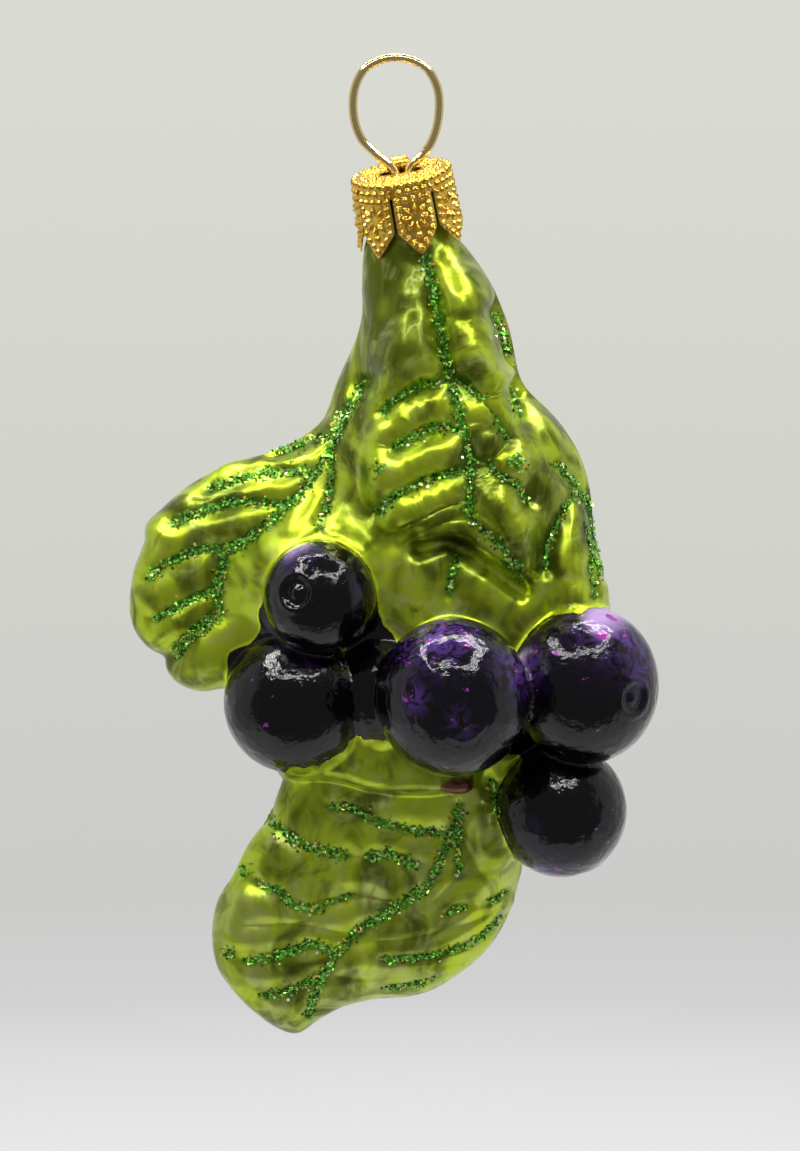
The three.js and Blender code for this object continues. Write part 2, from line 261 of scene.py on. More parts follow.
# %% Veins on the front
FRONT_VEINS = [
    (1.5, [(3.1, -21.0), (3.9, -23.5), (4.3, -26.3), (4.7, -28.5), (5.1, -30.6), (5.6, -32.7), (6.2, -34.8),
           (6.7, -37.6), (7.5, -39.9), (7.8, -42.0), (8.1, -43.7), (8.1, -46.2), (8.0, -48.7), (9.1, -50.0),
           (11.2, -51.9), (12.5, -53.5), (13.5, -55.7)]),
    (1.0, [(6.8, -53.6), (6.3, -55.0), (5.8, -57.5)]),
    (1.3, [(4.8, -34.5), (2.8, -35.0), (0.2, -36.3), (-1.4, -37.8)]),
    (1.6, [(6.9, -39.6), (4.4, -39.3), (2.3, -40.1), (-0.1, -41.5)]),
    (1.3, [(8.1, -43.7), (6.2, -44.2), (3.6, -44.9), (1.1, -46.1), (-0.6, -47.1), (-2.0, -48.6)]),
    (1.3, [(6.8, -34.5), (8.1, -35.3), (9.3, -36.4)]),
    (0.9, [(10.7, -38.3), (11.3, -39.3), (12.0, -40.8)]),
    (1.2, [(10.2, -43.2), (10.7, -44.3), (12.2, -44.9), (13.5, -46.1), (14.3, -47.5)]),
    (1.2, [(10.6, -27.5), (11.4, -29.0), (12.1, -31.2), (12.4, -32.1)]),
    (1.0, [(12.6, -35.8), (13.1, -37.6), (13.6, -38.7)]),
    (1.3, [(17.5, -43.7), (18.7, -45.0), (19.9, -46.8), (21.0, -48.7), (21.9, -51.5), (22.8, -54.3), (22.9, -56.0)]),
    (0.9, [(19.4, -47.1), (18.7, -48.0), (17.3, -50.9), (16.5, -52.6), (16.2, -54.8)]),
    (0.9, [(21.3, -50.9), (21.6, -52.8), (21.3, -55.1), (21.6, -56.9), (21.7, -58.3)]),
    (1.5, [(-3.4, -34.9), (-5.6, -38.8), (-6.9, -41.5), (-8.6, -44.7), (-11.4, -47.9), (-14.6, -50.7),
           (-17.2, -52.6), (-18.6, -53.6), (-19.1, -55.1), (-19.6, -58.0), (-19.4, -59.8), (-20.9, -61.7),
           (-22.8, -63.0), (-24.1, -65.1)]),
    (1.1, [(-7.6, -41.0), (-11.4, -42.4), (-13.3, -42.9)]),
    (1.3, [(-8.6, -44.7), (-13.3, -44.8), (-17.2, -45.6), (-20.7, -46.8)]),
    (1.4, [(-12.2, -48.1), (-14.3, -48.1), (-18.0, -48.0), (-21.9, -49.4), (-24.5, -50.5)]),
    (1.3, [(-17.2, -52.8), (-19.9, -53.0), (-22.8, -53.6), (-25.1, -54.9), (-27.2, -56.5)]),
    (1.2, [(-19.6, -57.5), (-22.4, -58.6), (-24.6, -59.8), (-26.6, -60.9)]),
    (1.2, [(-19.4, -59.8), (-21.9, -62.0), (-24.1, -63.8)]),
    (1.1, [(-6.9, -41.5), (-7.0, -43.7), (-7.3, -47.5), (-8.4, -50.5)]),
    (1.4, [(7.0, -81.4), (6.6, -83.6), (5.8, -85.7), (4.4, -88.3), (3.2, -90.8), (0.7, -92.4), (-1.5, -93.8),
           (-4.0, -95.5), (-5.4, -96.9), (-6.8, -98.6), (-7.9, -100.5), (-8.9, -102.6), (-9.7, -105.6)]),
    (1.0, [(7.0, -81.8), (6.8, -85.9), (6.9, -89.3)]),
    (1.2, [(5.8, -84.5), (2.3, -84.3), (-1.3, -83.4), (-4.8, -81.8), (-7.3, -81.5)]),
    (1.6, [(2.3, -88.1), (-0.8, -86.9), (-3.2, -87.3)]),
    (1.6, [(-5.4, -87.1), (-8.2, -86.5), (-11.3, -85.2), (-13.6, -83.7)]),
    (1.4, [(-15.4, -90.3), (-12.8, -91.2), (-11.3, -92.6), (-8.2, -93.1)]),
    (0.6, [(-7.9, -92.4), (-4.8, -91.5)]),
    (1.4, [(-6.8, -97.9), (-9.1, -97.1), (-12.0, -97.9), (-14.8, -98.8), (-16.8, -99.0)]),
    (1.2, [(-8.2, -100.5), (-10.8, -102.0), (-13.2, -102.6), (-14.8, -103.0)]),
    (1.0, [(5.4, -93.8), (7.3, -92.8)]),
    (1.0, [(-1.5, -98.8), (2.3, -98.6), (5.8, -97.9), (8.7, -96.9), (10.3, -95.7), (11.6, -94.2)]),
    (0.8, [(9.9, -92.6), (12.3, -91.4)]),
    (0.9, [(-1.3, -102.4), (2.3, -101.9), (4.6, -101.0)]),
    (1.2, [(10.3, -78.5), (10.9, -80.4), (11.3, -82.4)]),
]
# Grooves that carry no glitter.
FRONT_GROOVES = [
    [(-3.2, -87.3), (-5.4, -87.1)],
    [(-4.8, -91.5), (0.7, -92.4)],
    [(6.2, -49.2), (3.0, -50.2), (0.0, -51.0)],
    [(8.1, -47.0), (4.2, -48.4), (1.0, -50.2)],
    [(8.4, -44.0), (10.2, -43.2)],
    [(6.9, -89.3), (3.6, -92.8), (0.0, -94.6)],
    [(-5.4, -96.9), (0.5, -96.6), (6.0, -95.4), (11.5, -93.0)],
    [(-7.9, -100.5), (-3.6, -100.9), (2.0, -100.4), (7.5, -99.0)],
    [(-16.5, -95.0), (-11.0, -94.8), (-6.0, -95.8)],
    [(-10.0, -44.0), (-15.5, -45.9), (-19.5, -48.6)],
]
FOLD = [(2.6, -52.8), (5.2, -52.0), (7.0, -52.4), (9.2, -54.0), (12.0, -56.2), (13.6, -57.4)]
EYELID = [(-7.6, -50.6), (-5.6, -51.3), (-3.8, -52.6), (-2.4, -54.6)]
SPOTS_OF_GLITTER = [(-1.8, -43.6), (12.9, -42.7), (13.2, -43.3), (-16.7, -89.1), (-18.5, -98.2)]

# %% Veins on the back
BACK_VEINS = [
    (1.5, [(2.6, -25.0), (2.4, -31.0), (2.0, -37.0), (1.8, -43.0), (1.4, -49.0), (1.0, -55.0), (0.8, -58.5)]),
    (1.2, [(2.3, -33.0), (-1.0, -35.0), (-4.4, -38.4)]),
    (1.2, [(1.9, -40.0), (-2.0, -42.0), (-6.6, -45.8)]),
    (1.2, [(1.5, -47.0), (-2.0, -49.4), (-6.0, -53.2)]),
    (1.2, [(2.2, -35.0), (5.6, -37.4), (8.8, -41.0)]),
    (1.2, [(1.8, -42.0), (5.6, -44.6), (9.6, -48.8)]),
    (1.2, [(1.3, -50.0), (4.4, -52.4), (7.0, -55.2)]),
    (1.5, [(-5.6, -39.0), (-9.0, -44.6), (-13.0, -49.4), (-17.2, -53.0), (-19.4, -57.4), (-21.0, -61.7),
           (-23.8, -65.6)]),
    (1.2, [(-9.2, -44.8), (-14.4, -45.2), (-19.6, -46.6)]),
    (1.2, [(-13.0, -49.4), (-18.6, -49.4), (-24.4, -51.2)]),
    (1.2, [(-17.2, -53.2), (-22.0, -54.0), (-26.8, -56.6)]),
    (1.2, [(-19.4, -57.6), (-23.2, -59.2), (-26.8, -61.4)]),
    (1.4, [(5.6, -82.0), (4.0, -88.0), (0.4, -92.6), (-4.6, -96.4), (-8.0, -101.0), (-9.8, -105.4)]),
    (1.2, [(4.8, -85.4), (-1.4, -83.6), (-8.0, -81.6)]),
    (1.2, [(3.0, -89.4), (-4.6, -88.0), (-12.8, -85.0)]),
    (1.2, [(0.2, -92.8), (-7.0, -92.4), (-15.0, -91.0)]),
    (1.2, [(-4.6, -96.4), (-10.4, -97.4), (-16.8, -98.8)]),
    (1.2, [(-1.6, -94.4), (4.4, -94.6), (10.8, -92.6)]),
    (1.2, [(-6.6, -98.8), (-0.6, -99.6), (6.6, -97.8)]),
    (1.2, [(17.0, -43.6), (19.6, -47.2), (21.2, -52.0), (21.8, -57.0)]),
]


def vein_map(veins, plain=()):
    """The distance of every grid spot from the nearest vein."""
    best = np.full(SPOTS.shape[:2], 1e3)
    for _, points in veins:
        best = np.minimum(best, line_distance(rounded(points, steps=3)))
    for points in plain:
        best = np.minimum(best, line_distance(rounded(points, steps=3)) + 0.35)
    return best


front_vein = vein_map(FRONT_VEINS, FRONT_GROOVES)
back_vein = vein_map(BACK_VEINS)
front_glitter = vein_map(FRONT_VEINS)
fold_line = line_distance(rounded(FOLD, steps=3))
eyelid_line = line_distance(rounded(EYELID, steps=3))
print(len(FRONT_VEINS), "veins on the front and", len(BACK_VEINS), "on the back")


# %% [markdown]
# ## One field for the whole shell
# The field is roughly the distance from the surface in millimetres: negative inside the glass and positive
# outside. Green parts blend softly into each other, and berries meet in tight creases.

# %% Field
def ball(p, middle, radii):
    q = p - np.array(middle)
    r = np.array(radii)
    k0 = np.linalg.norm(q / r, axis=1)
    k1 = np.linalg.norm(q / r**2, axis=1)
    return k0 * (k0 - 1) / np.maximum(k1, 1e-9)


def neck(p):
    table = smooth_table(NECK)
    z = p[:, 2]
    cx, hx, cy, hy = [np.interp(z, table[:, 0], table[:, i]) for i in range(1, 5)]
    k = np.sqrt(((p[:, 0] - cx) / hx) ** 2 + ((p[:, 1] - cy) / hy) ** 2)
    side = (k - 1) * np.minimum(hx, hy)
    ends = np.maximum((p - CAP_TOP) @ UP + 1.2, -66.0 - z)
    return -blend_min(-side, -ends, 0.6)


def puffed(p, leaf):
    inside = read(leaf["inside"], p[:, 0], p[:, 2])
    heights, depths = zip(*sorted(leaf["depth"]))
    middle = np.interp(p[:, 2], heights, depths)
    u = np.maximum(0, 1 - inside / leaf["roll"])
    v = (p[:, 1] - middle) / leaf["half"]
    return (np.sqrt(u**2.2 + v**2) - 1) * min(leaf["roll"], leaf["half"])


def berry(p, middle, radii, crown, depth):
    """A ball with a ring-shaped crown dimple pressed into it."""
    way = np.array(crown) / np.linalg.norm(crown)
    q = p - np.array(middle)
    ahead = q @ way
    across = np.linalg.norm(q - ahead[:, None] * way, axis=1)
    ring = np.exp(-(((across - 1.15) / 0.5) ** 2)) + 0.35 * np.exp(-((across / 2.2) ** 2))
    rim = 0.5 * np.exp(-(((across - 1.95) / 0.38) ** 2))
    return ball(p, middle, radii) + np.where(ahead > 0, depth * (ring - rim), 0)


def relief(distance, height, reach):
    """Height of the leaf above its veins, by the distance from the nearest one."""
    return height * (1 - np.exp(-((np.maximum(distance, 0) / reach) ** 1.4)))


def green_field(p):
    f = neck(p)
    f = blend_min(f, ball(p, *SHOULDER), 3.5)
    f = blend_min(f, puffed(p, LEFT_LEAF), 3.6)
    f = blend_min(f, ball(p, *BERRY_SOCKET), 2.5)
    f = blend_min(f, puffed(p, BACK_LEAF), 1.4)
    f = blend_min(f, puffed(p, RIGHT_LEAF), 1.2)
    f = blend_min(f, puffed(p, FRONT_LEAF), 1.4)
    low = blend_min(puffed(p, HANGING_LEAF), ball(p, *LEAF_KNOB), 0.8)
    low = blend_min(low, ball(p, *LEAF_ROOT), 0.8)
    low = blend_min(low, puffed(p, UPPER_FOLD), 0.5)
    f = blend_min(f, low, 0.8)
    front = p[:, 1] < 2.0
    vein = np.where(front, read(front_vein, p[:, 0], p[:, 2]), read(back_vein, p[:, 0], p[:, 2]))
    fade = np.clip((-p[:, 2] - 19) / 6, 0, 1)
    middle = np.clip(1 - ((p[:, 0] - 6) / 13) ** 2, 0, 1) * np.clip((p[:, 2] + 60) / 12, 0, 1)
    strong = 1.02 + 0.6 * middle - 0.3 * np.clip((-76 - p[:, 2]) / 8, 0, 1)
    f = f + fade * (0.5 - strong * relief(vein, 1.0, 1.35))
    f = f - 0.55 * np.exp(-((read(eyelid_line, p[:, 0], p[:, 2]) / 0.7) ** 2)) * front
    return f + 1.7 * np.exp(-((read(fold_line, p[:, 0], p[:, 2]) / 0.9) ** 2)) * front


def berry_field(p):
    f = ball(p, *FRUIT_CORE)
    for middle, radii, crown, depth in BERRIES:
        f = blend_min(f, berry(p, middle, radii, crown, depth), 0.5)
    return f


def field(p):
    f = blend_min(green_field(p), berry_field(p), 0.9)
    return blend_min(f, ball(p, *STEM_END), 0.5)


def slope(p, of, step=0.05):
    out = np.empty_like(p)
    for i in range(3):
        move = np.zeros(3)
        move[i] = step
        out[:, i] = (of(p + move) - of(p - move)) / (2 * step)
    return out


# %% [markdown]
# ## The skin
# Balls, flattened balls and cones are put where the parts of the sprig are and fused into one closed skin.
# Its points are then moved along the slope of the field until they lie on the surface.

# %% Rough body
body = bmesh.new()


def add_ball(middle, radii):
    place = Matrix.Translation(middle) @ Matrix.Diagonal((*radii, 1))
    bmesh.ops.create_icosphere(body, subdivisions=4, radius=1, matrix=place)


for middle, radii, _, _ in BERRIES:
    add_ball(middle, radii)
add_ball(*FRUIT_CORE)
add_ball(*STEM_END)
add_ball(*BERRY_SOCKET)
add_ball(*SHOULDER)
add_ball(*LEAF_KNOB)
add_ball(*LEAF_ROOT)
for lower, upper in zip(sorted(NECK)[:-1], sorted(NECK)[1:]):
    ring = []
    for height, across, half_width, depth, half_depth in (lower, upper):
        place = Matrix.Translation((across, depth, height)) @ Matrix.Diagonal((half_width, half_depth, 1, 1))
        made = bmesh.ops.create_circle(body, cap_ends=True, segments=48, radius=1, matrix=place)
        ring.append([e for e in body.edges if all(v in set(made["verts"]) for v in e.verts)])
    bmesh.ops.bridge_loops(body, edges=ring[0] + ring[1])
for leaf in LEAVES:
    outline = rounded(leaf["outline"], closed=True, steps=3)
    heights, depths = zip(*sorted(leaf["depth"]))
    corners = [body.verts.new((x, np.interp(z, heights, depths) - leaf["half"] * 0.55, z)) for x, z in outline]
    bottom = body.faces.new(corners)
    top = bmesh.ops.extrude_face_region(body, geom=[bottom])
    raised = [g for g in top["geom"] if isinstance(g, bmesh.types.BMVert)]
    bmesh.ops.translate(body, verts=raised, vec=(0, leaf["half"] * 1.1, 0))
bmesh.ops.recalc_face_normals(body, faces=body.faces)
bmesh.ops.scale(body, vec=(MM, MM, MM), verts=body.verts)

rough_mesh = bpy.data.meshes.new("rough")
body.to_mesh(rough_mesh)
body.free()
rough = bpy.data.objects.new("rough", rough_mesh)
bpy.context.collection.objects.link(rough)
fuse = rough.modifiers.new("fuse", "REMESH")
fuse.mode = "VOXEL"
fuse.voxel_size = 0.37 * MM
fuse.use_smooth_shade = True
bpy.context.view_layer.update()
skin_mesh = bpy.data.meshes.new_from_object(rough.evaluated_get(bpy.context.evaluated_depsgraph_get()))
bpy.data.objects.remove(rough)
print("fused skin:", len(skin_mesh.vertices), "points,", len(skin_mesh.polygons), "faces")

# %% Fit the skin to the field
count = len(skin_mesh.vertices)
points = np.empty(count * 3)
skin_mesh.vertices.foreach_get("co", points)
points = points.reshape(-1, 3) / MM
ends = np.empty(len(skin_mesh.edges) * 2, np.int64)
skin_mesh.edges.foreach_get("vertices", ends)
ends = ends.reshape(-1, 2)
links = np.bincount(ends.ravel(), minlength=count)[:, None]


def neighbours_mean(values):
    total = np.zeros_like(values)
    np.add.at(total, ends[:, 0], values[ends[:, 1]])
    np.add.at(total, ends[:, 1], values[ends[:, 0]])
    return total / links


for turn in range(9):
    if turn < 6:
        points += 0.6 * (neighbours_mean(points) - points)
    for _ in range(2 if turn < 8 else 4):
        g = slope(points, field)
        size = np.maximum((g * g).sum(1), 0.05)
        step = -(field(points) / size)[:, None] * g
        length = np.linalg.norm(step, axis=1, keepdims=True)
        points += step * np.minimum(1, 0.6 / np.maximum(length, 1e-9))
print("left over at worst:", round(float(np.abs(field(points)).max()), 3), "mm")
skin_mesh.vertices.foreach_set("co", (points * MM).ravel())
skin_mesh.update()

# %% Open the neck
# The faces at the top of the neck are carried down to make the well that the legs of the wire stand in.
inside = bmesh.new()
inside.from_mesh(skin_mesh)
WELL_RADIUS = 3.1
WELL_DEPTH = 11.7
WELL_SPREAD = 1.28
well = []
for face in inside.faces:
    q = np.array(face.calc_center_median()) / MM - CAP_TOP
    if q @ UP > -1.5 and math.hypot(q @ RIGHT, q @ FRONT) < WELL_RADIUS:
        well.append(face)
sunk = bmesh.ops.extrude_face_region(inside, geom=well)
bmesh.ops.delete(inside, geom=well, context="FACES")
for v in [g for g in sunk["geom"] if isinstance(g, bmesh.types.BMVert)]:
    q = np.array(v.co) / MM - CAP_TOP
    spot = CAP_TOP - UP * WELL_DEPTH + RIGHT * (q @ RIGHT) * WELL_SPREAD + FRONT * (q @ FRONT) * WELL_SPREAD
    v.co = Vector(spot * MM)
bmesh.ops.recalc_face_normals(inside, faces=inside.faces)
inside.to_mesh(skin_mesh)
inside.free()
count = len(skin_mesh.vertices)
points = np.empty(count * 3)
skin_mesh.vertices.foreach_get("co", points)
points = points.reshape(-1, 3) / MM
print("well made from", len(well), "faces")

# %% Name what each point of the skin is
skin_mesh.name = "glass_skin"
skin = bpy.data.objects.new("glass_skin", skin_mesh)
bpy.context.collection.objects.link(skin)


def keep(name, values):
    layer = skin_mesh.attributes.new(name, "FLOAT", "POINT")
    layer.data.foreach_set("value", np.asarray(values, np.float32))


# Where the dark lacquer ran over the green: place, reach and how far it ran.
RUNS = [
    ((-14.0, -60.2), 1.2, 3.0),
    ((-13.8, -62.6), 1.4, 3.2),
    ((-12.6, -64.4), 1.6, 2.6),
    ((-17.4, -65.0), 1.6, 2.0),
    ((-2.8, -62.0), 2.4, 3.0),
]
# Where the purple shows through: berry, way from its middle, reach and strength.
PURPLE_SPOTS = [
    (3, (-0.15, -0.4, 0.9), 4.0, 1.0),
    (3, (0.8, -0.45, 0.4), 2.6, 0.7),
    (3, (0.12, -0.97, -0.2), 1.6, 0.5),
    (3, (-0.5, -0.84, 0.1), 1.5, 0.7),
    (4, (0.45, -0.35, 0.82), 4.2, 1.0),
    (4, (-0.82, -0.5, 0.3), 2.4, 0.9),
    (4, (0.74, -0.6, 0.3), 2.6, 0.5),
    (0, (-0.4, -0.3, 0.87), 2.0, 0.8),
    (5, (-0.3, -0.4, -0.87), 2.6, 0.9),
    (6, (-0.1, 0.3, 0.95), 3.4, 0.9),
    (7, (0.2, 0.4, 0.9), 3.0, 0.9),
    (8, (0.3, 0.3, 0.9), 3.4, 0.9),
]
on_front = points[:, 1] < 2.0
fruit = green_field(points) - berry_field(points)
for spot, reach, amount in RUNS:
    away = np.linalg.norm(points[:, [0, 2]] - spot, axis=1)
    fruit += amount * np.exp(-((away / reach) ** 2)) * on_front
keep("fruit", fruit)
purple_shows = np.zeros(count)
for number, way, reach, strength in PURPLE_SPOTS:
    middle, radii, _, _ = BERRIES[number]
    spot = np.array(middle) + np.array(radii) * np.array(way) / np.linalg.norm(way)
    away = np.linalg.norm(points - spot, axis=1)
    purple_shows = np.maximum(purple_shows, strength * np.exp(-((away / reach) ** 2)))
keep("purple", purple_shows)
# Where milky lacquer pools on the hanging leaf: place and reach.
POOLS = [((9.8, -83.8), 3.4), ((-17.6, -95.4), 2.6), ((-1.5, -102.4), 3.6), ((3.0, -90.5), 2.6)]
pools = np.zeros(count)
for spot, reach in POOLS:
    away = np.linalg.norm(points[:, [0, 2]] - spot, axis=1)
    pools = np.maximum(pools, np.exp(-((away / reach) ** 2)))
keep("pool", pools)
glitter_front = read(front_glitter, points[:, 0], points[:, 2])
glitter_back = read(back_vein, points[:, 0], points[:, 2])
keep("vein", np.where(on_front, glitter_front, glitter_back))
keep("stem_end", np.clip(0.6 - ball(points, *STEM_END), 0, 1))
skin_mesh.shade_smooth()
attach(skin, "root")
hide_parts("glass_sprig")
print("skin:", len(skin_mesh.polygons), "faces")


# %% [markdown]
# ## Lacquer over silvered glass
# The green is a satin metallic lacquer, streaked and marbled. The berries are a near-black purple under a
# high gloss. The paint edge between them is ragged, with a bright yellow-green line painted along it as a
# highlight, stronger higher up.

# %% Material helpers
def new_material(name):
    material = bpy.data.materials.new(name)
    material.use_nodes = True
    return material, material.node_tree, material.node_tree.nodes["Principled BSDF"]


def node(tree, kind, **values):
    """Adds a shader node. Sockets are set by name, with spaces written as underscores."""
    made = tree.nodes.new(kind)
    for key, value in values.items():
        if hasattr(made, key):
            setattr(made, key, value)
            continue
        socket = made.inputs[int(key[1:])] if key[0] == "_" else made.inputs[key.replace("_", " ")]
        if isinstance(value, bpy.types.NodeSocket):
            tree.links.new(value, socket)
        else:
            socket.default_value = value
    return made


def maths(tree, operation, a, b=0.0, c=0.0):
    return node(tree, "ShaderNodeMath", operation=operation, _0=a, _1=b, _2=c).outputs[0]


def ramp(tree, value, low, high):
    """0 below low, 1 above high, smooth between."""
    made = node(tree, "ShaderNodeMapRange", interpolation_type="SMOOTHSTEP", Value=value)
    made.inputs["From Min"].default_value = low
    made.inputs["From Max"].default_value = high
    return made.outputs["Result"]


def mixed(tree, factor, a, b):
    made = tree.nodes.new("ShaderNodeMix")
    made.data_type = "RGBA"
    for socket, value in ((made.inputs[0], factor), (made.inputs[6], a), (made.inputs[7], b)):
        if isinstance(value, bpy.types.NodeSocket):
            tree.links.new(value, socket)
        else:
            socket.default_value = value
    return made.outputs[2]


def clouds(tree, place, scale, detail=4.0, distortion=0.0, stretch=(1, 1, 1), turn=(0, 0, 0)):
    """Noise in millimetres over the ornament."""
    moved = node(tree, "ShaderNodeMapping", Vector=place, Scale=[v / MM for v in stretch], Rotation=turn)
    return node(
        tree, "ShaderNodeTexNoise", Vector=moved.outputs[0], Scale=scale, Detail=detail, Distortion=distortion
    ).outputs[0]


def tinted(tree, mask, strength, under, over):
    """Lays a colour over another where the mask is, at some strength."""
    return mixed(tree, maths(tree, "MULTIPLY", mask, strength), under, over)


def attribute(tree, name):
    return node(tree, "ShaderNodeAttribute", attribute_name=name).outputs["Fac"]


# %% Painted glass
glass, tree, shader = new_material("painted_glass")
place = node(tree, "ShaderNodeTexCoord").outputs["Object"]
fruit_side = attribute(tree, "fruit")
ragged = clouds(tree, place, 0.55, detail=5.0)
edge = maths(tree, "ADD", fruit_side, maths(tree, "MULTIPLY", maths(tree, "SUBTRACT", ragged, 0.5), 1.1))
is_fruit = ramp(tree, edge, 0.3, 0.42)

marble = clouds(tree, place, 0.11, detail=3.0, distortion=1.2, stretch=(1.0, 1.0, 0.8), turn=(0, 0.5, 0))
streaks = clouds(tree, place, 0.35, detail=4.0, distortion=0.8, stretch=(1.4, 1.4, 0.3))
green = mixed(tree, ramp(tree, marble, 0.34, 0.60), (0.13, 0.165, 0.012, 1), (0.58, 0.74, 0.035, 1))
green = tinted(tree, ramp(tree, streaks, 0.48, 0.74), 0.4, green, (0.62, 0.72, 0.14, 1))
height = node(tree, "ShaderNodeSeparateXYZ", Vector=place).outputs[2]
on_low_leaf = ramp(tree, height, -74 * MM, -90 * MM)
milk = maths(tree, "MULTIPLY_ADD", on_low_leaf, 0.08, clouds(tree, place, 0.14, detail=5.0, distortion=3.0))
milk = maths(tree, "MULTIPLY_ADD", attribute(tree, "pool"), 0.16, milk)
green = tinted(tree, ramp(tree, milk, 0.52, 0.74), 0.6, green, (0.62, 0.70, 0.20, 1))
smudge = clouds(tree, place, 0.17, detail=3.0, distortion=1.4)
green = tinted(tree, ramp(tree, smudge, 0.50, 0.72), 0.75, green, (0.07, 0.095, 0.01, 1))
by_vein = attribute(tree, "vein")
green = tinted(tree, ramp(tree, by_vein, 0.9, 0.2), 0.45, green, (0.07, 0.20, 0.02, 1))
# A painted highlight: a bright yellow-green line along the paint edge, stronger higher up.
painted_edge_highlight = maths(tree, "MULTIPLY", ramp(tree, edge, -0.6, 0.1), ramp(tree, edge, 0.55, 0.3))
highlight_stronger_higher = maths(tree, "MULTIPLY_ADD", ramp(tree, height, -74 * MM, -66 * MM), 0.6, 0.3)
painted_edge_highlight = maths(tree, "MULTIPLY", painted_edge_highlight, highlight_stronger_higher)
green = mixed(tree, painted_edge_highlight, green, (0.85, 1.0, 0.03, 1))

patches = clouds(tree, place, 0.16, detail=3.0, distortion=0.8)
specks = clouds(tree, place, 0.6, detail=6.0, stretch=(1.0, 1.0, 1.8))
swirls = clouds(tree, place, 0.42, detail=3.0, distortion=2.5)
near_purple = attribute(tree, "purple")
shows = maths(tree, "MULTIPLY", near_purple, ramp(tree, swirls, 0.38, 0.6))
purple = mixed(tree, ramp(tree, patches, 0.60, 0.74), (0.0015, 0.001, 0.002, 1), (0.012, 0.005, 0.026, 1))
purple = tinted(tree, shows, 0.9, purple, (0.12, 0.045, 0.30, 1))
thin_top = maths(tree, "MULTIPLY", ramp(tree, edge, 3.6, 1.2), ramp(tree, near_purple, 0.25, 0.6))
purple = mixed(tree, thin_top, purple, (0.48, 0.31, 0.64, 1))
specks = maths(tree, "MULTIPLY_ADD", near_purple, 0.14, specks)
purple = mixed(tree, ramp(tree, specks, 0.70, 0.73), purple, (0.30, 0.03, 0.30, 1))
brown = attribute(tree, "stem_end")
lacquer = mixed(tree, is_fruit, green, purple)
lacquer = mixed(tree, ramp(tree, brown, 0.1, 0.5), lacquer, (0.20, 0.085, 0.06, 1))
tree.links.new(lacquer, shader.inputs["Base Color"])
tree.links.new(maths(tree, "MULTIPLY_ADD", is_fruit, -0.78, 0.82), shader.inputs["Metallic"])
tree.links.new(maths(tree, "MULTIPLY_ADD", is_fruit, -0.06, 0.33), shader.inputs["Roughness"])
tree.links.new(maths(tree, "MULTIPLY_ADD", is_fruit, 0.82, 0.18), shader.inputs["Coat Weight"])
shader.inputs["Coat Roughness"].default_value = 0.05
shader.inputs["Coat IOR"].default_value = 1.46
shader.inputs["Specular IOR Level"].default_value = 0.03
fine = clouds(tree, place, 1.1, detail=4.0)
wavy = clouds(tree, place, 0.3, detail=2.0)
crackle = maths(tree, "MULTIPLY_ADD", fine, 0.22, maths(tree, "MULTIPLY", wavy, 0.65))
crackle = maths(tree, "MULTIPLY", crackle, is_fruit)
swell = clouds(tree, place, 0.13, detail=1.0, distortion=0.6)
swell = maths(tree, "MULTIPLY", swell, maths(tree, "MULTIPLY_ADD", is_fruit, -3.2, 3.2))
height = maths(tree, "ADD", maths(tree, "MULTIPLY_ADD", wavy, 0.10, crackle), swell)
bump = node(tree, "ShaderNodeBump", Strength=1.0, Distance=0.4 * MM, Height=height)
tree.links.new(bump.outputs[0], shader.inputs["Normal"])
tree.links.new(bump.outputs[0], shader.inputs["Coat Normal"])
skin_mesh.materials.append(glass)

# %% [markdown]
# ## Glitter
# Each flake is a tiny six-sided plate, laid at its own tilt along the veins and a little above the glass.

# %% One flake
flake = bmesh.new()
bmesh.ops.create_circle(flake, cap_ends=True, segments=6, radius=1)
raised = bmesh.ops.extrude_face_region(flake, geom=flake.faces[:])
upper_side = [g for g in raised["geom"] if isinstance(g, bmesh.types.BMVert)]
bmesh.ops.translate(flake, verts=upper_side, vec=(0, 0, 0.22))
bmesh.ops.recalc_face_normals(flake, faces=flake.faces)
flake.verts.ensure_lookup_table()
FLAKE_POINTS = np.array([v.co for v in flake.verts])
FLAKE_FACES = [[v.index for v in f.verts] for f in flake.faces]
flake.free()

# %% Scatter the flakes
surface = BVHTree.FromPolygons([Vector(p) for p in points], [tuple(p.vertices) for p in skin_mesh.polygons])


